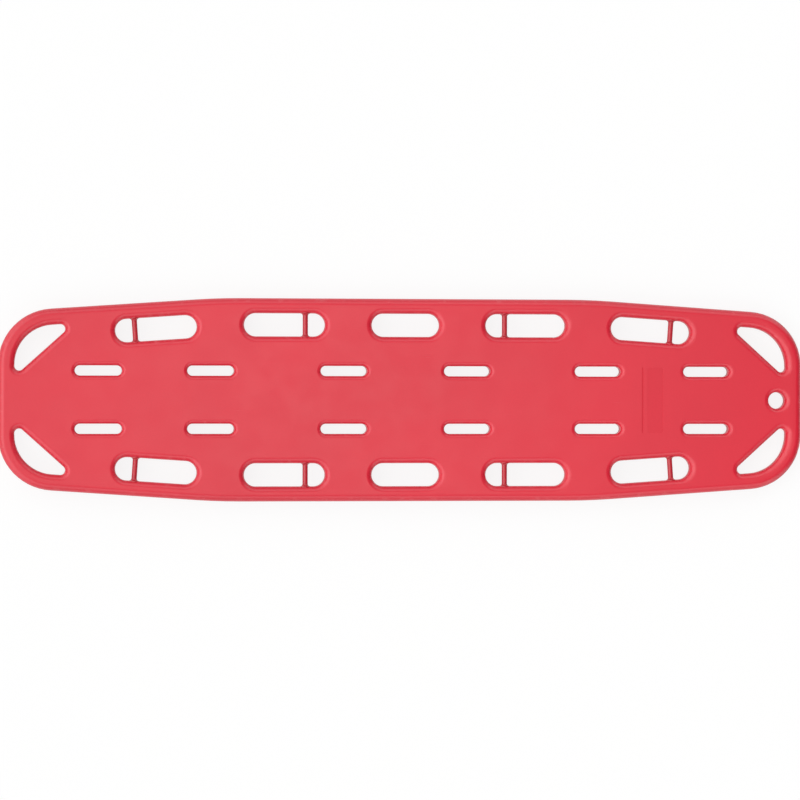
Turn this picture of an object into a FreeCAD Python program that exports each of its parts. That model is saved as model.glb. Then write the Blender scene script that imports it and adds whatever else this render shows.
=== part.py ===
# A long spine board: a hollow, foam-filled plastic slab for carrying a lying patient. Two moulded
# skins meet on a parting plane half way up the slab. They close over a rigid foam core, four
# stiffening rods inside it, and eight strap pins that cross the handholds. Three plugs on the
# underside close the ports through which the foam was poured.
# X runs from the head end (-) to the foot end (+), Y is across, and +Y is the patient's left.
# Z is up, with z = 0 on the floor under the runners. Sizes are in millimetres.

import FreeCAD
import Part

import math
import os

# ---- driving dimensions ----

# the slab
board_length = 1840.0
board_width = 460.0
slab_thickness = 36.0
edge_round = 16.0           # rounding of the outer edge, above and below
corner_radius = 126.0       # plan radius of the four corners
taper_length = 495.0        # from each end to where the long sides start to draw in
taper_angle = 3.9           # of the long sides, in degrees
taper_blend = 1500.0        # plan radius that eases the taper in

# moulding
skin = 3.2                  # wall thickness of both skins
mould_gap = 0.2             # between pieces that are moulded round each other
finest_round = 0.5          # the least rounding on any inner corner

# handholds: one at the middle of each side, an outer one near each end, and one half way between
handhold_width = 52.4
handhold_margin = 34.0      # width of the grip between handhold and outer edge
handhold_length = 184.0
middle_handhold_length = 155.0
outer_handhold_from_end = 353.5     # from the end of the board to the handhold's middle
grip_round = 14.0           # rounding of the handholds' rims, above and below

# corner handles
corner_handle_margin = 36.5     # width of the grip round the corner
corner_handle_chord = 42.0      # slant of the handle's straight side, in degrees
corner_handle_from_middle = 52.0    # from the centreline to the handle's inner tip
corner_handle_tip_radius = 10.5

# strap slots in two rows: one a little past each web between handholds, and one near each end
slot_length = 106.0
slot_width = 23.0
slot_from_handhold = 66.5   # across the board, between slot and handhold
waist_slot_past_web = 10.5
thigh_slot_past_web = 22.0
end_slot_from_end = 224.0
slot_round_top = 10.0
slot_round_under = 6.0

# hole for a hanging hook or a tow line, at the foot end
hang_hole_diameter = 38.0
hang_hole_from_end = 58.0
hang_hole_round = 12.0

# runners under the slab, lengthways between the slots and the handholds
runner_depth = 14.0
runner_foot_width = 18.0
runner_root_width = 24.0
runner_from_end = 360.0     # from the end of the board to the end of a runner
runner_ramp = 47.0          # length of the slope at each end
runner_foot_round = 5.0
runner_root_round = 3.0

# shallow channel along the middle of the underside
channel_from_end = 360.0
channel_width = 42.0
channel_depth = 6.0
channel_round = 4.0

# engraved rule on the deck
rule_from_end = 374.0
rule_length = 150.0
rule_width = 3.4
rule_depth = 0.9

# blank recess for an owner's label, beside the rule
label_from_rule = 11.0
label_width = 37.0
label_corner = 4.0
label_depth = 0.5

# strap pins
pin_diameter = 12.0
pin_from_tip = 44.5         # from the end of the handhold to the pin
pin_flare = 6.0             # rounding where the pin swells into its collar
pin_collar_length = 6.5     # from the handhold's wall into the board
pin_stem_diameter = 14.0
pin_anchor_diameter = 20.0
pin_anchor_thickness = 3.0
pin_reach = 18.0            # from the handhold's wall to the end of the anchor
pin_core_diameter = 9.0
pin_cover = 1.6             # of plastic over the end of the core
core_clearance = 0.1

# stiffening rods
rod_diameter = 10.0
rod_from_end = 170.0        # from the end of the board to the end of a rod

# plugs in the channel
plug_flange_thickness = 2.5
plug_stem_length = 12.0
fill_plug_flange = 30.0
fill_plug_stem = 22.0
vent_plug_flange = 24.0
vent_plug_stem = 14.0
vent_plug_from_channel_end = 80.0
key_slot_width = 3.0        # of the slot for a screwdriver or a coin, across a plug's flange
key_slot_depth = 1.2
key_slot_share = 0.6        # of the flange's width that the slot crosses

# ---- levels and lines worked out from them ----

slab_bottom = runner_depth
deck = slab_bottom + slab_thickness
parting = slab_bottom + slab_thickness / 2
half_length = board_length / 2
half_width = board_width / 2
taper = math.radians(taper_angle)
taper_start = half_length - taper_length
pin_collar_radius = pin_diameter / 2 + pin_flare
wall_half = handhold_width / 2
handhold_depth = handhold_margin + handhold_width   # from the edge to a handhold's inner wall

# along the board, from the middle: the handholds, with equal webs between them, and the slots
outer_handhold_at = half_length - outer_handhold_from_end
web_start = middle_handhold_length / 2
web_end = outer_handhold_at - handhold_length / 2
web = (web_end - web_start - handhold_length) / 2
inner_handhold_at = (web_start + web_end) / 2
slot_stations = [
    web_start + web / 2 + waist_slot_past_web,
    web_end - web / 2 + thigh_slot_past_web,
    half_length - end_slot_from_end,
]
rule_at = half_length - rule_from_end
channel_half_length = half_length - channel_from_end
vent_plug_at = channel_half_length - vent_plug_from_channel_end
runner_root_end = half_length - runner_from_end
runner_foot_end = runner_root_end - runner_ramp

# across the board, from the centreline: slots, runners and rods
slot_outer = half_width - handhold_depth - slot_from_handhold
slot_row = slot_outer - slot_width / 2

TOUCHING = 1e-4             # closer than this counts as lying on a line
BEYOND = 50.0               # how far a cutting block reaches past the board
UP = FreeCAD.Vector(0, 0, 1)


# ---- plan shapes ----

def point(x, y, z=0.0):
    return FreeCAD.Vector(x, y, z)


def left_of(direction):
    return point(-direction.y, direction.x)


def meet(start_a, along_a, start_b, along_b):
    """Where two lines in plan cross."""
    across = left_of(along_b)
    return start_a + along_a * ((start_b - start_a).dot(across) / along_a.dot(across))


def grown(corners, by):
    """A counter-clockwise polygon with every side moved outwards: corners, directions and turns."""
    count = len(corners)
    along = [(corners[(n + 1) % count] - corners[n]).normalize() for n in range(count)]
    starts = [corner - left_of(side) * by for corner, side in zip(corners, along)]
    moved = [meet(starts[n - 1], along[n - 1], starts[n], along[n]) for n in range(count)]
    turns = [math.asin(left_of(along[n - 1]).dot(along[n])) for n in range(count)]
    for n in range(count):
        if along[n - 1].dot(along[n]) < 0:
            turns[n] = math.copysign(math.pi, turns[n]) - turns[n]
    return moved, along, turns


def rounded_polygon(corners, radii, grow, z):
    """A closed wire of straight sides and tangent arcs, with every side moved outwards by grow."""
    moved, along, turns = grown(corners, grow)
    edges = []
    arcs = []
    for n, corner in enumerate(moved):
        bulge = math.copysign(1, turns[n])
        radius = max(radii[n] + bulge * grow, finest_round)
        cut = radius * math.tan(abs(turns[n]) / 2)
        start = corner - along[n - 1] * cut
        end = corner + along[n] * cut
        centre = start + left_of(along[n - 1]) * (bulge * radius)
        middle = centre + (corner - centre).normalize() * radius
        arcs.append((start, middle, end))
    lift = point(0, 0, z)
    for n, (start, middle, end) in enumerate(arcs):
        edges.append(Part.Arc(start + lift, middle + lift, end + lift).toShape())
        following = arcs[(n + 1) % len(arcs)][0]
        if (following - end).Length > TOUCHING:
            edges.append(Part.LineSegment(end + lift, following + lift).toShape())
    return Part.Wire(edges)


def mirrored(corners, flip_x, flip_y):
    """Corners mirrored across the middle of the board, still counter-clockwise."""
    turned = [point(c.x * flip_x, c.y * flip_y) for c in corners]
    return turned if flip_x * flip_y > 0 else turned[::-1]


def side_line(inset):
    """A point and the direction of the tapered side at the foot end, on +Y, moved inwards."""
    along = point(math.cos(taper), -math.sin(taper))
    return point(taper_start, half_width) - left_of(along) * inset, along


def side_y(x, inset):
    """How far from the centreline the long side lies, moved inwards, at a distance from the middle."""
    start, along = side_line(inset)
    tapered = start.y + (abs(x) - start.x) * along.y / along.x
    return min(half_width - inset, tapered)


def midway(low, high):
    return (low + high) / 2


def runner_at():
    """The middle of a runner, half way between the rims of the slots and of the outer handholds."""
    handhold_rim = side_y(runner_root_end, handhold_depth) - grip_round
    return midway(slot_outer + slot_round_under, handhold_rim)


def outer_rod_at():
    """Half way between the slots and the pins' anchors."""
    return midway(slot_outer, side_y(outer_handhold_at, handhold_depth) - pin_reach)


def inner_rod_at():
    """Half way between the fill port and the slots."""
    return midway(fill_plug_stem / 2, slot_outer - slot_width)


def lane(inset, end):
    """Points of the long side on +Y from the foot end to the head end, moved inwards."""
    start, along = side_line(inset)
    kink = meet(start, along, point(0, half_width - inset), point(1, 0))
    tip = meet(start, along, point(end, 0), point(0, 1))
    return [tip, kink, point(-kink.x, kink.y), point(-tip.x, tip.y)]


def outline(inset, z):
    far_side = lane(0, half_length)
    corners = far_side + mirrored(far_side, 1, -1)
    radii = [corner_radius, taper_blend, taper_blend, corner_radius] * 2
    return rounded_polygon(corners, radii, -inset, z)


def stadium(centre, length, width, angle=0.0):
    """Corners and radii of a slot with round ends."""
    along = point(math.cos(angle), math.sin(angle))
    reach, out = along * (length / 2), left_of(along) * (width / 2)
    corners = [centre - reach - out, centre + reach - out, centre + reach + out, centre - reach + out]
    return corners, [width / 2] * 4


def corner_handle():
    """The plan face, with sharp tips, of the handle whose grip follows the foot end's corner on +Y."""
    inside = Part.Face(outline(corner_handle_margin, 0))
    slant = math.radians(corner_handle_chord)
    tip = point(half_length - corner_handle_margin, corner_handle_from_middle)
    along = point(-math.cos(slant), math.sin(slant)) * board_width
    outwards = point(math.sin(slant), math.cos(slant)) * board_width
    block = [tip - along, tip - along + outwards, tip + along + outwards, tip + along]
    return inside.common(Part.Face(Part.makePolygon(block + block[:1]))).Faces[0]


# ---- openings through the slab ----

class Opening:
    """A hole through the slab, with its rims' rounding. Each kind makes its own plan wire."""

    def __init__(self, round_top, round_under):
        self.round_top = round_top
        self.round_under = round_under


class SlotOpening(Opening):
    """A handhold or a strap slot."""

    def __init__(self, centre, length, width, angle, round_top, round_under):
        super().__init__(round_top, round_under)
        self.corners, self.radii = stadium(centre, length, width, angle)

    def wire(self, grow, z):
        return rounded_polygon(self.corners, self.radii, grow, z)


class RoundOpening(Opening):
    def __init__(self, centre, diameter, rounding):
        super().__init__(rounding, rounding)
        self.centre = centre
        self.radius = diameter / 2

    def wire(self, grow, z):
        return Part.Wire([Part.makeCircle(self.radius + grow, self.centre + point(0, 0, z))])


class CornerOpening(Opening):
    """A corner handle, mirrored to any of the four corners."""

    def __init__(self, flip_x, flip_y):
        super().__init__(grip_round, grip_round)
        self.flip_x = flip_x
        self.flip_y = flip_y

    def wire(self, grow, z):
        radius = corner_handle_tip_radius
        wire = corner_handle().makeOffset2D(-radius).makeOffset2D(radius + grow).OuterWire
        if self.flip_x < 0:
            wire = wire.mirror(point(0, 0), point(1, 0))
        if self.flip_y < 0:
            wire = wire.mirror(point(0, 0), point(0, 1))
        return wire.translated(point(0, 0, z))


class Handhold:
    """One handhold: its middle, its slant, and the side of its middle on which a strap pin crosses."""

    def __init__(self, x, side, length, pin_side):
        self.length = length
        slant = taper if abs(x) > taper_start else 0.0
        self.angle = -math.copysign(slant, x) * side
        depth = handhold_margin + wall_half
        self.centre = point(x, side * side_y(x, depth))
        self.pin_side = pin_side

    def opening(self):
        return SlotOpening(self.centre, self.length, handhold_width, self.angle, grip_round, grip_round)

    def pin_centre(self):
        along = point(math.cos(self.angle), math.sin(self.angle))
        offset = self.pin_side * (self.length / 2 - pin_from_tip)
        return self.centre + along * offset + point(0, 0, parting)


def handholds():
    """All ten handholds by name. Each pin is at the end nearest the board's middle or its tip."""
    found = {}
    for side, hand in ((1, "left"), (-1, "right")):
        found["shoulder_" + hand] = Handhold(-outer_handhold_at, side, handhold_length, -1)
        found["chest_" + hand] = Handhold(-inner_handhold_at, side, handhold_length, 1)
        found["hip_" + hand] = Handhold(0.0, side, middle_handhold_length, 0)
        found["thigh_" + hand] = Handhold(inner_handhold_at, side, handhold_length, -1)
        found["ankle_" + hand] = Handhold(outer_handhold_at, side, handhold_length, 1)
    return found


def openings():
    """Every hole through the slab."""
    found = [handhold.opening() for handhold in handholds().values()]
    found += [CornerOpening(flip_x, flip_y) for flip_x in (1, -1) for flip_y in (1, -1)]
    for station in slot_stations:
        for x in (station, -station):
            for y in (slot_row, -slot_row):
                slot = (point(x, y), slot_length, slot_width, 0.0)
                found.append(SlotOpening(*slot, slot_round_top, slot_round_under))
    hang_hole = point(half_length - hang_hole_from_end, 0)
    found.append(RoundOpening(hang_hole, hang_hole_diameter, hang_hole_round))
    return found


# ---- the board's form, at any depth under its surface ----

def eased(rounding, inset):
    """A rim's rounding at a depth under the surface. The slab's thickness limits it."""
    return max(min(rounding, slab_thickness / 2 - finest_round) - inset, finest_round)


def round_along(body, wires, radius):
    """Rounds the edges of a body that lie along some level wires."""
    line = Part.makeCompound(wires)
    levels = {round(vertex.Z, 4) for vertex in line.Vertexes}
    edges = []
    for edge in body.Edges:
        middle = edge.valueAt((edge.FirstParameter + edge.LastParameter) / 2)
        if round(middle.z, 4) in levels and line.distToShape(Part.Vertex(middle))[0] < TOUCHING:
            edges.append(edge)
    return body.makeFillet(radius, edges)


def runner(side, inset):
    """One runner with drafted sides, ramps and rounded edges. Its slopes run on into the slab."""
    foot_end, foot_half = runner_foot_end - inset, runner_foot_width / 2 - inset
    into = 1 + runner_root_round / slab_bottom
    top_end = foot_end + runner_ramp * into
    top_half = foot_half + (runner_root_width - runner_foot_width) / 2 * into
    top = inset + slab_bottom * into
    block = Part.makeWedge(-foot_end, inset, -foot_half, -top_half, -top_end,
                           foot_end, top, foot_half, top_half, top_end)
    block.rotate(point(0, 0), point(1, 0), 90)
    block.translate(point(0, side * runner_at()))
    edges = [edge for edge in block.Edges if min(v.Z for v in edge.Vertexes) < top - TOUCHING]
    return block.makeFillet(max(runner_foot_round - inset, finest_round), edges)


def runner_root_edges(body, side, z):
    """The edges where a runner meets the slab's underside."""
    found = []
    for edge in body.Edges:
        box = edge.BoundBox
        level = abs(box.ZMin - z) < TOUCHING and abs(box.ZMax - z) < TOUCHING
        if level and abs(box.Center.y - side * runner_at()) <= runner_root_width / 2 + TOUCHING:
            found.append(edge)
    return found


def channel(inset):
    """The space of the channel in the underside."""
    corners, radii = stadium(point(0, 0), 2 * channel_half_length, channel_width)
    floor = slab_bottom + channel_depth + inset
    rim = rounded_polygon(corners, radii, inset, floor)
    space = Part.Face(rim).extrude(point(0, 0, -floor))
    return round_along(space, [rim], channel_round)


def board_form(inset):
    """The board's solid form with every face moved inwards by inset."""
    low, high = slab_bottom + inset, deck - inset
    holes = openings()
    plan = [outline(inset, low)] + [hole.wire(inset, low) for hole in holes]
    body = Part.makeFace(plan, "Part::FaceMakerBullseye").extrude(UP * (high - low))
    rims = [(edge_round, [outline(inset, low), outline(inset, high)])]
    for rounding in sorted({hole.round_top for hole in holes}):
        rims.append((rounding, [hole.wire(inset, high) for hole in holes if hole.round_top == rounding]))
    for rounding in sorted({hole.round_under for hole in holes}):
        rims.append((rounding, [hole.wire(inset, low) for hole in holes if hole.round_under == rounding]))
    for rounding, wires in rims:
        body = round_along(body, wires, eased(rounding, inset))
    body = body.cut(channel(inset))
    rim = rounded_polygon(*stadium(point(0, 0), 2 * channel_half_length, channel_width), inset, low)
    body = round_along(body, [rim], eased(channel_round, inset))
    for side in (1, -1):
        body = body.fuse(runner(side, inset))
        body = body.makeFillet(runner_root_round, runner_root_edges(body, side, low))
    return body.removeSplitter()


# ---- turned pieces ----

def turned(profile, centre, direction):
    """A solid of revolution from (distance along the axis, radius) steps, each a plain cylinder or cone."""
    corners = [point(distance, radius) for distance, radius in profile]
    corners = [point(profile[0][0], 0)] + corners + [point(profile[-1][0], 0)]
    face = Part.Face(Part.makePolygon(corners + corners[:1]))
    body = face.revolve(point(0, 0), point(1, 0), 360)
    return placed(body, centre, direction)


def placed(body, centre, direction):
    """A body made along X, turned to a direction and moved to its place."""
    body.Placement = FreeCAD.Placement(centre, FreeCAD.Rotation(point(1, 0), direction))
    return body


def pin_direction(handhold):
    return point(-math.sin(handhold.angle), math.cos(handhold.angle))


def pin_half(clearance):
    """A strap pin's outline past the handhold's wall, grown, as (distance, radius) steps."""
    collar, stem = pin_collar_radius + clearance, pin_stem_diameter / 2 + clearance
    anchor = pin_anchor_diameter / 2 + clearance
    collar_end = wall_half + pin_collar_length + clearance
    anchor_start = wall_half + pin_reach - pin_anchor_thickness - clearance
    end = wall_half + pin_reach + clearance
    steps = [(collar_end, collar), (collar_end, stem), (anchor_start, stem)]
    return steps + [(anchor_start, anchor), (end, anchor)]


def pin_core_half_length():
    return wall_half + pin_reach - pin_cover


def pin_core(handhold):
    """The glass-fibre rod inside a strap pin."""
    half = pin_core_half_length()
    radius = pin_core_diameter / 2
    return turned([(-half, radius), (half, radius)], handhold.pin_centre(), pin_direction(handhold))


def pin_sleeve(handhold):
    """The plastic round a strap pin's core, with a flared collar and an anchor at each wall."""
    neck = pin_diameter / 2
    middle = wall_half - pin_flare
    flare_centre = point(middle, neck + pin_flare)
    deepest = flare_centre + point(math.sin(math.pi / 4), -math.cos(math.pi / 4)) * pin_flare
    flare = (point(middle, neck), deepest, point(wall_half, neck + pin_flare))
    far = [point(distance, radius) for distance, radius in pin_half(0)]
    end = point(wall_half + pin_reach, 0)
    steps = [flare[2]] + far + [end]
    half = [Part.Arc(*flare).toShape()]
    half += [Part.LineSegment(a, b).toShape() for a, b in zip(steps, steps[1:])]
    half.append(Part.LineSegment(end, point(0, 0)).toShape())
    half.append(Part.LineSegment(point(0, 0), point(0, neck)).toShape())
    half.append(Part.LineSegment(point(0, neck), flare[0]).toShape())
    body = Part.Face(Part.Wire(Part.sortEdges(half)[0])).revolve(point(0, 0), point(1, 0), 360)
    body = body.fuse(body.mirror(point(0, 0), point(1, 0))).removeSplitter()
    bore = pin_core_half_length() + core_clearance
    radius = pin_core_diameter / 2 + core_clearance
    body = body.cut(turned([(-bore, radius), (bore, radius)], point(0, 0), point(1, 0)))
    return placed(body, handhold.pin_centre(), pin_direction(handhold))


def pin_socket(handhold):
    """The space that a strap pin fills beyond both walls of its handhold."""
    inside = wall_half - pin_flare
    steps = pin_half(mould_gap)
    steps = [(inside, steps[0][1])] + steps
    sides = [turned(steps, point(0, 0), point(sign, 0)) for sign in (1, -1)]
    return placed(Part.makeCompound(sides), handhold.pin_centre(), pin_direction(handhold))


def rod(y, clearance):
    half = half_length - rod_from_end + clearance
    radius = rod_diameter / 2 + clearance
    return turned([(-half, radius), (half, radius)], point(0, y, parting), point(1, 0))


def plug_steps(flange, stem, clearance):
    """A plug's outline upwards from under its flange."""
    seat = slab_bottom + channel_depth
    steps = [(seat - plug_flange_thickness, flange / 2), (seat, flange / 2), (seat, stem / 2 + clearance)]
    return steps + [(seat + plug_stem_length + clearance, stem / 2 + clearance)]


def plug(x, flange, stem):
    body = turned(plug_steps(flange, stem, 0), point(x, 0), UP)
    seat = slab_bottom + channel_depth
    length = flange * key_slot_share
    slot = Part.makeBox(length, key_slot_width, key_slot_depth)
    slot.translate(point(x - length / 2, -key_slot_width / 2, seat - plug_flange_thickness))
    return body.cut(slot)


def plug_hole(x, stem):
    steps = plug_steps(0, stem, mould_gap)[2:]
    start = slab_bottom + channel_depth
    return turned([(start, steps[0][1]), steps[1]], point(x, 0), UP)


# ---- moulded pieces ----

def deck_marks():
    """What is sunk into the deck: a rule across it, and a blank label recess beside it."""
    rule = Part.makeBox(rule_width, rule_length, rule_depth)
    rule.translate(point(rule_at - rule_width / 2, -rule_length / 2, deck - rule_depth))
    near, far, half = label_from_rule, label_from_rule + label_width, rule_length / 2
    corners = [point(near, -half), point(far, -half), point(far, half), point(near, half)]
    edge = rounded_polygon(corners, [label_corner] * 4, 0, deck - label_depth)
    label = Part.Face(edge).extrude(UP * label_depth)
    label.translate(point(rule_at, 0))
    return [rule, label]


def half_space(top):
    """A block over or under the parting plane, larger than the board."""
    low, high = (parting, deck + BEYOND) if top else (-BEYOND, parting)
    block = Part.makeBox(board_length + 2 * BEYOND, board_width + 2 * BEYOND, high - low)
    block.translate(point(-half_length - BEYOND, -half_width - BEYOND, low))
    return block


def build():
    pinned = {name: handhold for name, handhold in handholds().items() if handhold.pin_side}
    sockets = [pin_socket(handhold) for handhold in pinned.values()]
    rods = {}
    for hand, side in (("left", 1), ("right", -1)):
        rods["outer_stiffening_rod_" + hand] = side * outer_rod_at()
        rods["inner_stiffening_rod_" + hand] = side * inner_rod_at()
    plugs = {
        "fill_port_plug": (0.0, fill_plug_flange, fill_plug_stem),
        "head_vent_plug": (-vent_plug_at, vent_plug_flange, vent_plug_stem),
        "foot_vent_plug": (vent_plug_at, vent_plug_flange, vent_plug_stem),
    }
    plug_holes = [plug_hole(x, stem) for x, flange, stem in plugs.values()]

    nodes = {}
    outside = board_form(0)
    skins = outside.cut([board_form(skin)] + sockets + plug_holes + deck_marks())
    nodes["top_skin"] = skins.common(half_space(True))
    nodes["bottom_skin"] = skins.common(half_space(False))
    channels = [rod(y, mould_gap) for y in rods.values()]
    nodes["foam_core"] = board_form(skin + mould_gap).cut(sockets + plug_holes + channels)
    for name, y in rods.items():
        nodes[name] = rod(y, 0)
    for name, handhold in pinned.items():
        nodes["strap_pin_" + name] = pin_sleeve(handhold)
        nodes["strap_pin_core_" + name] = pin_core(handhold)
    for name, (x, flange, stem) in plugs.items():
        nodes[name] = plug(x, flange, stem)
    return nodes


os.makedirs("parts", exist_ok=True)
for name, shape in build().items():
    print(name, len(shape.Solids), shape.isValid(), round(shape.Volume / 1000, 2), "cm3")
    shape.exportStep("parts/" + name + ".step")
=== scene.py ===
import math

import bmesh
import bpy
from mathutils import Matrix, Vector


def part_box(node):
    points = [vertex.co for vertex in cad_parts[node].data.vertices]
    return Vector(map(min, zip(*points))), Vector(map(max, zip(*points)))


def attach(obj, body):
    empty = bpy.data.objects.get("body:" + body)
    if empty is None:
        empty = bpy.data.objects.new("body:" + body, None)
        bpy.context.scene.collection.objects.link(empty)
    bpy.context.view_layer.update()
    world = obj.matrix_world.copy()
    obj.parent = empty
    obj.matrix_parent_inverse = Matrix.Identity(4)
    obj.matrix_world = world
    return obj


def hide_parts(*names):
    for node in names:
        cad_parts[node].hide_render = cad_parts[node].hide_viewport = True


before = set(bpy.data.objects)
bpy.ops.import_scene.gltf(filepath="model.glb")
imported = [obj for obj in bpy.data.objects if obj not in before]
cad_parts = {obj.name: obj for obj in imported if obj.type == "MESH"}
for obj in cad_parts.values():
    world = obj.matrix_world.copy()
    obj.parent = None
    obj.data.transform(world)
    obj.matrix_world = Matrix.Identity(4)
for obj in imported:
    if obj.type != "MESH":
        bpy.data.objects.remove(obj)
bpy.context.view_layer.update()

# ---- top skin ----
# The upper half of the board: a sheet of red high-density polyethylene, 3.2 mm thick, moulded over
# the foam with its rims rolled into every handhold and slot. The deck has a fine moulded grain, and
# a thin line of flash runs round the walls where the two halves of the mould met.

parting_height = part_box("top_skin")[0].z
deck_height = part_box("top_skin")[1].z


def add(tree, kind, inputs=None, **settings):
    """A new node, with its settings made and its inputs given values or joined to other outputs."""
    made = tree.nodes.new(kind)
    for key, value in settings.items():
        setattr(made, key, value)
    for key, value in (inputs or {}).items():
        if isinstance(value, bpy.types.NodeSocket):
            tree.links.new(value, made.inputs[key])
        else:
            made.inputs[key].default_value = value
    return made


def material(name):
    """An empty material with its node tree, its main shader and the object's own coordinates."""
    made = bpy.data.materials.new(name)
    made.use_nodes = True
    tree = made.node_tree
    shader = tree.nodes["Principled BSDF"]
    place = add(tree, "ShaderNodeTexCoord").outputs["Object"]
    return made, tree, shader, place


def maths(tree, operation, *values):
    """One step of arithmetic between numbers or other nodes' outputs."""
    return add(tree, "ShaderNodeMath", dict(enumerate(values)), operation=operation).outputs[0]


def product(tree, one, other):
    return maths(tree, "MULTIPLY", one, other)


def total(tree, one, other):
    return maths(tree, "ADD", one, other)


def blended(tree, factor, low, high):
    """A colour between two others."""
    inputs = {0: factor, 6: low, 7: high}
    return add(tree, "ShaderNodeMix", inputs, data_type="RGBA").outputs[2]


def ramp(tree, value, low, high, at_low=0.0, at_high=1.0):
    """A value mapped smoothly from one range to another and held at its ends."""
    inputs = {"Value": value, "From Min": low, "From Max": high,
              "To Min": at_low, "To Max": at_high}
    made = add(tree, "ShaderNodeMapRange", inputs, interpolation_type="SMOOTHSTEP")
    return made.outputs["Result"]


def noise(tree, place, scale, detail=2.0, roughness=0.5):
    """An uneven pattern with about so many clouds to the metre."""
    inputs = {"Vector": place, "Scale": scale, "Detail": detail, "Roughness": roughness}
    return add(tree, "ShaderNodeTexNoise", inputs).outputs["Fac"]


def darker(colour, share):
    """A colour taken down to a share of itself."""
    return (*[part * share for part in colour], 1)


def polyethylene(name, colour, pale, grain=1.0):
    """Moulded polyethylene: cloudy pigment, a grained surface, polished rims and fine scratches."""
    made, tree, shader, place = material(name)
    level = add(tree, "ShaderNodeSeparateXYZ", {0: place}).outputs["Z"]
    normal = add(tree, "ShaderNodeNewGeometry").outputs["Normal"]
    facing = add(tree, "ShaderNodeSeparateXYZ", {0: normal}).outputs["Z"]
    flatness = maths(tree, "ABSOLUTE", facing)  # 1 on the deck and the underside, 0 on the walls

    # the pigment is a little uneven, in wide clouds and in specks
    cloud_share, speck_share, thin_pigment = 0.7, 0.3, 0.93
    clouds = noise(tree, place, scale=3.5, detail=3.0, roughness=0.55)
    specks = noise(tree, place, scale=240.0, detail=2.0, roughness=0.6)
    tint = total(tree, product(tree, clouds, cloud_share), product(tree, specks, speck_share))
    base = blended(tree, ramp(tree, tint, 0.3, 0.7), darker(colour, thin_pigment), (*colour, 1))

    # scratches lie mostly along the board, where it is slid off a cot
    drawn_out = (9.0, 520.0, 520.0)
    stretched = add(tree, "ShaderNodeMapping", {"Vector": place, "Scale": drawn_out}).outputs[0]
    long_marks = noise(tree, stretched, scale=1.0, detail=3.0, roughness=0.6)
    patches = noise(tree, place, scale=7.0)
    scratch = product(tree, ramp(tree, long_marks, 0.66, 0.74), ramp(tree, patches, 0.5, 0.72))

    # hands rub the rims, and floors scuff the feet of the runners
    scratch_wear, rim_wear, foot_wear = 0.22, 0.16, 0.75
    scuff_top, scuff_full = 0.0022, 0.0004
    rim = product(tree, ramp(tree, flatness, 0.25, 0.6), ramp(tree, flatness, 0.99, 0.8))
    rub_marks = noise(tree, place, scale=60.0, detail=4.0, roughness=0.65)
    rubbed = product(tree, rim, ramp(tree, rub_marks, 0.52, 0.7))
    scuff_marks = noise(tree, place, scale=35.0, detail=5.0, roughness=0.7)
    near_floor = ramp(tree, level, scuff_top, scuff_full)
    foot = product(tree, near_floor, ramp(tree, scuff_marks, 0.4, 0.6))
    worn = maths(tree, "MAXIMUM", product(tree, scratch, scratch_wear),
                 product(tree, rubbed, rim_wear))
    worn = maths(tree, "MAXIMUM", worn, product(tree, foot, foot_wear))
    base = blended(tree, worn, base, (*pale, 1))

    # the flash stands on the parting line, and only on the walls
    flash_edge, flash_crest = 0.0007, 0.0002
    flash_tint, flash_shade = 0.35, 0.55
    off_line = maths(tree, "ABSOLUTE", maths(tree, "SUBTRACT", level, parting_height))
    on_wall = ramp(tree, flatness, 0.5, 0.2)
    flash = product(tree, ramp(tree, off_line, flash_edge, flash_crest), on_wall)
    base = blended(tree, product(tree, flash, flash_tint), base, darker(colour, flash_shade))

    # painted shade: the floors of the shallow marks in the deck are coloured darker, and made to
    # shine less, as the shade that falls in a groove
    mark_edge, mark_floor, mark_deepest, below_marks = 0.0002, 0.001, 0.0015, 0.0025
    groove_shade_share, groove_shade_dark = 0.13, 0.4
    depth = maths(tree, "SUBTRACT", deck_height, level)
    sunk = product(tree, ramp(tree, depth, mark_edge, mark_floor),
                   ramp(tree, depth, below_marks, mark_deepest))
    groove_shade = product(tree, sunk, ramp(tree, flatness, 0.99, 0.998))
    base = blended(tree, product(tree, groove_shade, groove_shade_share), base, darker(colour, groove_shade_dark))
    tree.links.new(base, shader.inputs["Base Color"])

    # hands have polished the rims, which shine more than the deck does
    smooth_deck, rough_deck, worn_rough, polish_smooth = 0.362, 0.398, 0.25, 0.04
    deck_shine, polish_shine, groove_shade_shine = 0.66, 0.2, -0.26
    dull_clouds = noise(tree, place, scale=18.0, detail=4.0, roughness=0.6)
    dull = total(tree, ramp(tree, dull_clouds, 0.3, 0.7, smooth_deck, rough_deck),
                 product(tree, worn, worn_rough))
    polished = product(tree, ramp(tree, flatness, 0.2, 0.5), ramp(tree, flatness, 0.995, 0.94))
    dull = maths(tree, "SUBTRACT", dull, product(tree, polished, polish_smooth))
    tree.links.new(dull, shader.inputs["Roughness"])
    shader.inputs["IOR"].default_value = 1.5
    # the floors of the marks shine less, as part of their painted shade
    shine = total(tree, product(tree, polished, polish_shine), product(tree, groove_shade, groove_shade_shine))
    tree.links.new(total(tree, shine, deck_shine), shader.inputs["Specular IOR Level"])

    # the mould's grain, the faint ripple of the sheet, the scratches and the ridge of flash
    grain_height, ripple_height, scratch_depth, flash_height = 0.35 * grain, 1.1, 0.5, 1.2
    pebbles = add(tree, "ShaderNodeTexVoronoi", {"Vector": place, "Scale": 620.0},
                  feature="SMOOTH_F1").outputs["Distance"]
    ripple = noise(tree, place, scale=26.0, detail=3.0)
    height = total(tree, product(tree, pebbles, grain_height), product(tree, ripple, ripple_height))
    height = maths(tree, "SUBTRACT", height, product(tree, scratch, scratch_depth))
    height = total(tree, height, product(tree, flash, flash_height))
    bump = add(tree, "ShaderNodeBump", {"Height": height, "Strength": 0.35, "Distance": 0.0003})
    tree.links.new(bump.outputs[0], shader.inputs["Normal"])
    return made


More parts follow.
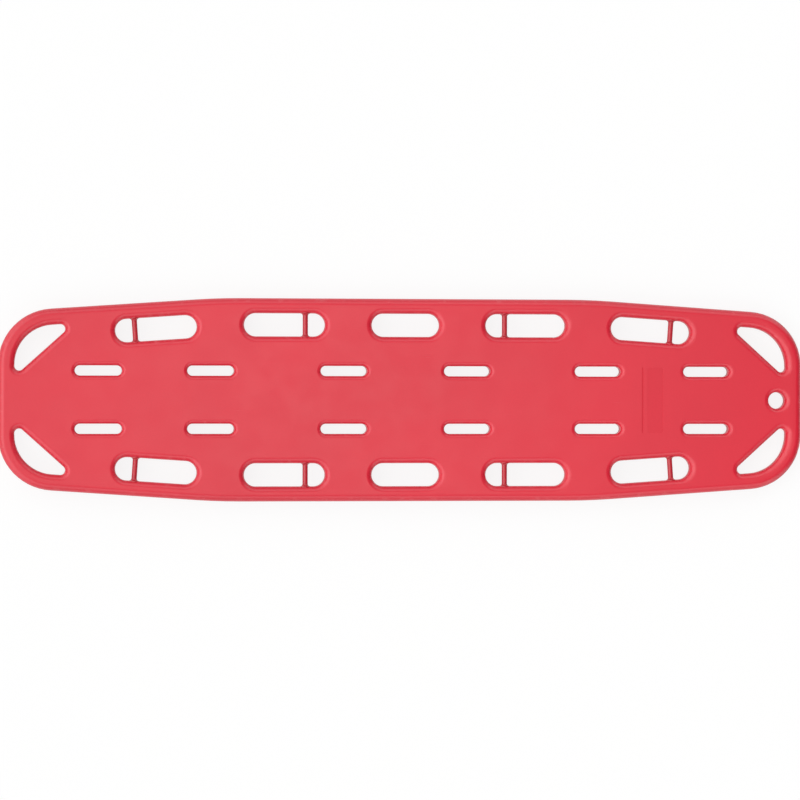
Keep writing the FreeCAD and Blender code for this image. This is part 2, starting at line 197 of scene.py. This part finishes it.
scuffed_red = (0.80, 0.25, 0.27)
skin_red = polyethylene("red_polyethylene", (0.765, 0.017, 0.042), scuffed_red)


def merged_copy(node, name, finish):
    """A smooth copy of a moulded piece, with its loose triangles joined and its flats kept flat."""
    joined_within, thinnest, crease = 2e-6, 1e-6, math.radians(32)
    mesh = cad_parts[node].data.copy()
    mesh.name = name
    work = bmesh.new()
    work.from_mesh(mesh)
    bmesh.ops.remove_doubles(work, verts=work.verts, dist=joined_within)
    bmesh.ops.dissolve_degenerate(work, dist=thinnest, edges=work.edges)
    for face in work.faces:
        face.smooth = True
    work.to_mesh(mesh)
    work.free()
    if mesh.has_custom_normals:
        mesh.attributes.remove(mesh.attributes["custom_normal"])
    mesh.set_sharp_from_angle(angle=crease)
    mesh.materials.clear()
    mesh.materials.append(finish)
    piece = bpy.data.objects.new(name, mesh)
    bpy.context.scene.collection.objects.link(piece)
    weighted = piece.modifiers.new("even shading", "WEIGHTED_NORMAL")
    weighted.weight = 100
    weighted.keep_sharp = True
    evened = piece.evaluated_get(bpy.context.evaluated_depsgraph_get())
    piece.data = bpy.data.meshes.new_from_object(evened)
    piece.modifiers.clear()
    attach(piece, "root")
    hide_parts(node)
    return piece


merged_copy("top_skin", "deck_skin", skin_red)

# ---- bottom skin ----
# The lower half, moulded like the upper one and welded to it on the parting line. Two runners stand
# under it, scuffed pale where they slide over floors, and a shallow channel lies between them.

merged_copy("bottom_skin", "underside_skin", skin_red)

# ---- plugs ----
# Three black polypropylene plugs close the ports in the channel of the underside: a wide one in the
# middle and a smaller one near each end. Their flanges are scuffed on the faces that look down.

plug_black, tree, shader, place = material("black_polypropylene")
normal = add(tree, "ShaderNodeNewGeometry").outputs["Normal"]
facing = add(tree, "ShaderNodeSeparateXYZ", {0: normal}).outputs["Z"]
scuff_marks = noise(tree, place, scale=160.0, detail=5.0, roughness=0.7)
scuffed = product(tree, ramp(tree, facing, -0.9, -0.99), ramp(tree, scuff_marks, 0.46, 0.66))
swirl = add(tree, "ShaderNodeMapping", {"Vector": place, "Scale": (1.0, 30.0, 1.0)}).outputs[0]
flow = ramp(tree, noise(tree, swirl, scale=40.0, detail=3.0, roughness=0.6), 0.35, 0.65)
base = blended(tree, flow, (0.018, 0.018, 0.020, 1), (0.030, 0.030, 0.033, 1))
base = blended(tree, product(tree, scuffed, 0.5), base, (0.13, 0.12, 0.12, 1))
tree.links.new(base, shader.inputs["Base Color"])
tree.links.new(ramp(tree, scuffed, 0.0, 1.0, 0.42, 0.62), shader.inputs["Roughness"])
sparked = noise(tree, place, scale=1900.0, detail=2.0, roughness=0.6)
height = total(tree, sparked, product(tree, scuffed, -0.6))
bump = add(tree, "ShaderNodeBump", {"Height": height, "Strength": 0.4, "Distance": 0.00012})
tree.links.new(bump.outputs[0], shader.inputs["Normal"])

for node in ("fill_port_plug", "head_vent_plug", "foot_vent_plug"):
    merged_copy(node, node.replace("plug", "cap"), plug_black)

# ---- foam core ----
# Pale rigid foam, poured in through the ports. It fills the board between the skins, with a fine
# skin of closed cells where it met the mould, and cloudy flow marks.

foam, tree, shader, place = material("polyurethane_foam")
cells = add(tree, "ShaderNodeTexVoronoi", {"Vector": place, "Scale": 850.0},
            feature="F1").outputs["Distance"]
flow = noise(tree, place, scale=9.0, detail=4.0, roughness=0.6)
base = blended(tree, ramp(tree, flow, 0.35, 0.65), (0.80, 0.69, 0.42, 1), (0.88, 0.80, 0.56, 1))
base = blended(tree, ramp(tree, cells, 0.25, 0.7, 0.0, 0.35), base, (0.66, 0.53, 0.28, 1))
tree.links.new(base, shader.inputs["Base Color"])
shader.inputs["Roughness"].default_value = 0.9
bump = add(tree, "ShaderNodeBump", {"Height": cells, "Strength": 0.7, "Distance": 0.0006})
tree.links.new(bump.outputs[0], shader.inputs["Normal"])
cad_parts["foam_core"].material_slots[0].material = foam

# ---- stiffening rods and pin cores ----
# Glass fibre in clear resin, drawn into round rods: straight fibres show along them, lengthways in
# the board for the stiffening rods and across it for the cores of the strap pins.


def glass_fibre(name, stretch):
    """Pale resin with fibres along the axis in which the pattern is stretched."""
    made, tree, shader, place = material(name)
    drawn = add(tree, "ShaderNodeMapping", {"Vector": place, "Scale": stretch}).outputs[0]
    fibres = noise(tree, drawn, scale=1.0, detail=4.0, roughness=0.65)
    resin = noise(tree, place, scale=30.0)
    base = blended(tree, ramp(tree, fibres, 0.35, 0.65),
                   (0.62, 0.60, 0.44, 1), (0.78, 0.77, 0.62, 1))
    base = blended(tree, ramp(tree, resin, 0.4, 0.7, 0.0, 0.3), base, (0.60, 0.52, 0.30, 1))
    tree.links.new(base, shader.inputs["Base Color"])
    tree.links.new(ramp(tree, fibres, 0.3, 0.7, 0.3, 0.45), shader.inputs["Roughness"])
    bump = add(tree, "ShaderNodeBump", {"Height": fibres, "Strength": 0.5, "Distance": 0.0001})
    tree.links.new(bump.outputs[0], shader.inputs["Normal"])
    return made


along_fibre, across_fibre = 12.0, 1500.0
rod_finish = glass_fibre("glass_fibre_along", (along_fibre, across_fibre, across_fibre))
core_finish = glass_fibre("glass_fibre_across", (across_fibre, along_fibre, across_fibre))
for name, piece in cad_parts.items():
    if "stiffening_rod" in name:
        piece.material_slots[0].material = rod_finish
    elif name.startswith("strap_pin_core"):
        piece.material_slots[0].material = core_finish

# ---- strap pins ----
# Eight pins cross the handholds, for the hooks of straps. Each is a cover of red plastic, moulded
# round a rod before the board was, and coloured a darker red than the deck as painted shade for its
# place down in the handhold. It swells into a collar where it enters the wall.

pin_sizes = {
    "Neck Radius": 0.006,
    "Flare": 0.006,
    "Collar Length": 0.0065,
    "Stem Radius": 0.007,
    "Anchor Radius": 0.010,
    "Anchor Thickness": 0.003,
    "Reach": 0.018,
    "Handhold Half Width": 0.0262,
}
side_slant = math.radians(3.9)
pin_crease = math.radians(35)

pins_tree = bpy.data.node_groups.new("strap_pins", "GeometryNodeTree")
sockets = pins_tree.interface
sockets.new_socket("Geometry", in_out="INPUT", socket_type="NodeSocketGeometry")
sockets.new_socket("Geometry", in_out="OUTPUT", socket_type="NodeSocketGeometry")
for label, size in pin_sizes.items():
    sockets.new_socket(label, in_out="INPUT", socket_type="NodeSocketFloat").default_value = size
for label, count in (("Rings", 129), ("Sides", 36)):
    sockets.new_socket(label, in_out="INPUT", socket_type="NodeSocketInt").default_value = count
sockets.new_socket("Material", in_out="INPUT", socket_type="NodeSocketMaterial")
given = add(pins_tree, "NodeGroupInput").outputs

# how far a ring stands from the pin's middle gives its radius: neck, flare, collar, stem, anchor
rise = total(pins_tree, given["Handhold Half Width"], given["Reach"])
low_end = add(pins_tree, "ShaderNodeCombineXYZ", {1: product(pins_tree, rise, -1.0)}).outputs[0]
high_end = add(pins_tree, "ShaderNodeCombineXYZ", {1: rise}).outputs[0]
axis = add(pins_tree, "GeometryNodeCurvePrimitiveLine",
           {"Start": low_end, "End": high_end}).outputs[0]
rings = add(pins_tree, "GeometryNodeResampleCurve",
            {"Curve": axis, "Count": given["Rings"]}).outputs[0]
ring_place = add(pins_tree, "GeometryNodeInputPosition").outputs[0]
ring_at = add(pins_tree, "ShaderNodeSeparateXYZ", {0: ring_place}).outputs["Y"]
off = maths(pins_tree, "ABSOLUTE", ring_at)
flare_start = maths(pins_tree, "SUBTRACT", given["Handhold Half Width"], given["Flare"])
into_flare = maths(pins_tree, "MAXIMUM", maths(pins_tree, "SUBTRACT", off, flare_start), 0.0)
into_flare = maths(pins_tree, "MINIMUM", into_flare, given["Flare"])
chord = maths(pins_tree, "SUBTRACT", product(pins_tree, given["Flare"], given["Flare"]),
              product(pins_tree, into_flare, into_flare))
swell = maths(pins_tree, "SUBTRACT", given["Flare"], maths(pins_tree, "SQRT", chord))
radius = total(pins_tree, given["Neck Radius"], swell)


def beyond(limit, inner, outer):
    """The outer value where a ring stands further out than a limit, else the inner one."""
    past = maths(pins_tree, "GREATER_THAN", off, limit)
    return add(pins_tree, "ShaderNodeMix", {0: past, 2: inner, 3: outer}).outputs[0]


collar_end = total(pins_tree, given["Handhold Half Width"], given["Collar Length"])
anchor_start = maths(pins_tree, "SUBTRACT", rise, given["Anchor Thickness"])
radius = beyond(collar_end, radius, given["Stem Radius"])
radius = beyond(anchor_start, radius, given["Anchor Radius"])
circle = add(pins_tree, "GeometryNodeCurvePrimitiveCircle",
             {"Resolution": given["Sides"], "Radius": 1.0}).outputs[0]
swept = add(pins_tree, "GeometryNodeCurveToMesh",
            {"Curve": rings, "Profile Curve": circle,
             "Scale": radius, "Fill Caps": True}).outputs[0]
slant = add(pins_tree, "GeometryNodeInputNamedAttribute", {"Name": "slant"},
            data_type="FLOAT").outputs[0]
turn = add(pins_tree, "ShaderNodeCombineXYZ", {2: slant}).outputs[0]
placed = add(pins_tree, "GeometryNodeInstanceOnPoints",
             {"Points": given["Geometry"], "Instance": swept, "Rotation": turn}).outputs[0]
solid = add(pins_tree, "GeometryNodeRealizeInstances", {0: placed}).outputs[0]
covered = add(pins_tree, "GeometryNodeSetMaterial",
              {"Geometry": solid, "Material": given["Material"]}).outputs[0]
add(pins_tree, "NodeGroupOutput", {0: covered})

# a pin grows at the middle of each node's box, and the outer ones are square to the slanting sides
# painted shade: the covers' red is darker than the deck's, for the shade down in the handholds
shaded_pin_red = polyethylene("pin_cover_shaded_red", (0.56, 0.012, 0.029), scuffed_red, grain=0.3)
pin_nodes = [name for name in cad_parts
             if name.startswith("strap_pin_") and "core" not in name]
middles = [(low + high) / 2 for low, high in map(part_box, pin_nodes)]
pin_places = bpy.data.meshes.new("strap_pins")
pin_places.from_pydata(middles, [], [])
slants = pin_places.attributes.new("slant", "FLOAT", "POINT")
for name, middle, turned in zip(pin_nodes, middles, slants.data):
    outer = "shoulder" in name or "ankle" in name
    turned.value = -side_slant * math.copysign(1, middle.x * middle.y) if outer else 0.0
strap_pins = bpy.data.objects.new("strap_pins", pin_places)
bpy.context.scene.collection.objects.link(strap_pins)
growing = strap_pins.modifiers.new("strap pins", "NODES")
growing.node_group = pins_tree
growing[sockets.items_tree["Material"].identifier] = shaded_pin_red
evaluated = strap_pins.evaluated_get(bpy.context.evaluated_depsgraph_get())
grown = bpy.data.meshes.new_from_object(evaluated)
strap_pins.modifiers.clear()
strap_pins.data = grown
grown.shade_smooth()
grown.set_sharp_from_angle(angle=pin_crease)
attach(strap_pins, "root")
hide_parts(*pin_nodes)

# ---- floor ----
# A pale studio floor, wide enough to fill low views. Part of what is seen of it is an even white
# of its own, which glossy and clear things show too. The rest is lit and takes the board's shadow.

floor_reach = 400.0
own_white, own_share = 1.57, 0.55
corners = [(-floor_reach, -floor_reach, 0), (floor_reach, -floor_reach, 0),
           (floor_reach, floor_reach, 0), (-floor_reach, floor_reach, 0)]
floor_mesh = bpy.data.meshes.new("studio_floor")
floor_mesh.from_pydata(corners, [], [(0, 1, 2, 3)])
studio_floor = bpy.data.objects.new("studio_floor", floor_mesh)
bpy.context.scene.collection.objects.link(studio_floor)
floor_finish, tree, shader, place = material("studio_floor")
shader.inputs["Base Color"].default_value = (0.30, 0.30, 0.30, 1)
shader.inputs["Roughness"].default_value = 0.9
shader.inputs["Specular IOR Level"].default_value = 0.0
rays = add(tree, "ShaderNodeLightPath").outputs
mirrored = maths(tree, "MAXIMUM", rays["Is Glossy Ray"], rays["Is Transmission Ray"])
seen = maths(tree, "MAXIMUM", rays["Is Camera Ray"], mirrored)
white = add(tree, "ShaderNodeEmission", {"Color": (1, 1, 1, 1), "Strength": own_white}).outputs[0]
share = product(tree, seen, own_share)
both = add(tree, "ShaderNodeMixShader", {0: share, 1: shader.outputs[0], 2: white}).outputs[0]
tree.links.new(both, tree.nodes["Material Output"].inputs["Surface"])
floor_mesh.materials.append(floor_finish)

# ---- studio light ----
# The light leans towards the head end, with a lit band along each side, and it is dark beyond the
# foot end. One small soft box, high above the board, lays a soft highlight along the deck.

soft_box = bpy.data.lights.new("overhead_soft_box", "AREA")
soft_box.shape = "RECTANGLE"
soft_box.size = soft_box.size_y = 1.6
soft_box.energy = 115
soft_box.color = (1.0, 0.98, 0.91)
soft_box_place = Vector((1.0, 0.0, 12.0))
soft_box_stand = bpy.data.objects.new("overhead_soft_box", soft_box)
bpy.context.scene.collection.objects.link(soft_box_stand)
soft_box_stand.location = soft_box_place
soft_box_stand.rotation_euler = (-soft_box_place).to_track_quat("-Z", "Y").to_euler()

lean = (-0.574, 0.0, 0.819)  # 35 degrees from straight up
overhead_level, head_level, side_level = 1.75, 0.6, 1.3
steep_side_level, low_side_share = 0.05, 0.3
world = bpy.data.worlds.new("studio")
bpy.context.scene.world = world
world.use_nodes = True
tree = world.node_tree
way = add(tree, "ShaderNodeTexCoord").outputs["Generated"]
above = add(tree, "ShaderNodeVectorMath", {0: way, 1: lean},
            operation="DOT_PRODUCT").outputs["Value"]
overhead = ramp(tree, above, 0.77, 0.96, 0.0, overhead_level)
across = add(tree, "ShaderNodeSeparateXYZ", {0: way}).outputs
head_end = ramp(tree, across["X"], -0.62, -0.8, 0.0, head_level)
side = maths(tree, "ABSOLUTE", across["Y"])
sides = product(tree, ramp(tree, side, 0.38, 0.6, steep_side_level, side_level),
                ramp(tree, side, 0.8, 0.96, 1.0, low_side_share))
level = total(tree, overhead, total(tree, head_end, sides))
tree.links.new(level, tree.nodes["Background"].inputs["Strength"])
tree.nodes["Background"].inputs["Color"].default_value = (1, 1, 1, 1)

# ---- camera ----
# It looks down on the deck from a little beyond the head end, through a long lens, with the board
# across the whole width of the view.

lens_distance, view_width, sensor_width = 7.6, 1.81544, 36.0
lens_tilt, lens_roll = math.radians(7.3), math.radians(0.075)
aim = Vector((-0.0142, 0.0, deck_height))
eye = aim + lens_distance * Vector((-math.sin(lens_tilt), 0, math.cos(lens_tilt)))
lens = bpy.data.cameras.new("studio_camera")
lens.sensor_width = sensor_width
lens.lens = sensor_width * lens_distance / view_width
camera = bpy.data.objects.new("studio_camera", lens)
bpy.context.scene.collection.objects.link(camera)
camera.location = eye
back = (eye - aim).normalized()
right = Vector((0, 1, 0)).cross(back)
upright = Matrix((right, back.cross(right), back)).transposed()
camera.rotation_euler = (upright @ Matrix.Rotation(lens_roll, 3, "Z")).to_euler()
bpy.context.scene.camera = camera
bpy.context.scene.view_settings.view_transform = "Standard"
